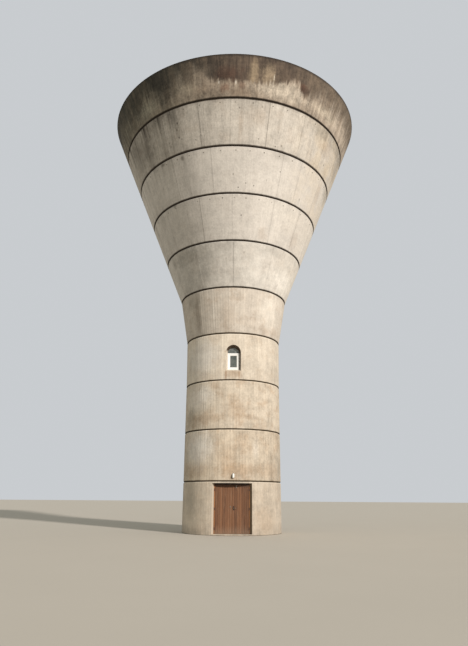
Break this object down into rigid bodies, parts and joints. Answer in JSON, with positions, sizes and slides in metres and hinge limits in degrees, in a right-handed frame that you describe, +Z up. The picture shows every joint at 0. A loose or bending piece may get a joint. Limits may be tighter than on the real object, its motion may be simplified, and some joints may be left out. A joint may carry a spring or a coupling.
{
  "type": "conical concrete water tower",
  "caption": "Round concrete shaft flaring into a conical tank, poured in ringed lifts, with timber double doors, an arched window and an open parapet round the roof.",
  "frame": {"origin": "on the tower's axis at ground level, at the underside of the walls", "axes": "+Z up the tower, -Y out of the doorway, +X to the right of someone facing the door"},
  "size_m": [12.458, 12.458, 19.728],
  "materials": {
    "board_marked_concrete": "board marked cast concrete, pale buff, streaked",
    "weathered_parapet_concrete": "damp stained cast concrete",
    "stained_timber": "weathered red-brown wood stain",
    "galvanised_steel": "dull galvanised",
    "dark_iron": "dark, lightly rusted",
    "white_plastic": "white extruded window profile, satin",
    "window_glass": "clear glass, dark room behind",
    "opal_plastic": "opal lamp cover"
  },
  "bodies": {
    "tower": {"lift_01_front_left": "board_marked_concrete", "lift_01_front_right": "board_marked_concrete", "lift_01_lintel": "board_marked_concrete", "lift_01_back": "board_marked_concrete", "door_sill": "board_marked_concrete", "ground_floor": "board_marked_concrete", "tank_floor": "board_marked_concrete", "roof_hatch_kerb": "board_marked_concrete", "lift_02_front": "board_marked_concrete", "lift_02_back": "board_marked_concrete", "lift_03_front": "board_marked_concrete", "lift_03_back": "board_marked_concrete", "lift_04_front": "board_marked_concrete", "lift_04_back": "board_marked_concrete", "lift_05_front": "board_marked_concrete", "lift_05_back": "board_marked_concrete", "lift_06_front": "board_marked_concrete", "lift_06_back": "board_marked_concrete", "lift_07_front": "board_marked_concrete", "lift_07_back": "board_marked_concrete", "lift_08_front": "board_marked_concrete", "lift_08_back": "board_marked_concrete", "lift_09_front": "board_marked_concrete", "lift_09_back": "board_marked_concrete", "parapet_front": "weathered_parapet_concrete", "parapet_back": "weathered_parapet_concrete", "roof_slab": "weathered_parapet_concrete", "roof_hatch_cover": "galvanised_steel", "door_frame": "stained_timber", "window_frame": "white_plastic", "window_sash": "white_plastic", "window_pane": "window_glass", "arch_light": "window_glass", "lamp_base": "dark_iron", "lamp_cover": "opal_plastic"},
    "left_leaf": {"door_leaf_left": "stained_timber", "door_hinge_left_1": "dark_iron", "door_hinge_left_2": "dark_iron", "door_hinge_left_3": "dark_iron"},
    "right_leaf": {"door_leaf_right": "stained_timber", "door_hinge_right_1": "dark_iron", "door_hinge_right_2": "dark_iron", "door_hinge_right_3": "dark_iron", "door_lock": "galvanised_steel"}
  },
  "joints": [
    {"name": "left_leaf_hinge", "type": "hinge", "parent": "tower", "child": "left_leaf", "pos_m": [-0.6855, -1.8573, 0.99], "axis": [0, 0, -1], "range_deg": [0, 110]},
    {"name": "right_leaf_hinge", "type": "hinge", "parent": "tower", "child": "right_leaf", "pos_m": [0.6855, -1.8573, 0.99], "axis": [0, 0, 1], "range_deg": [0, 110]}
  ]
}
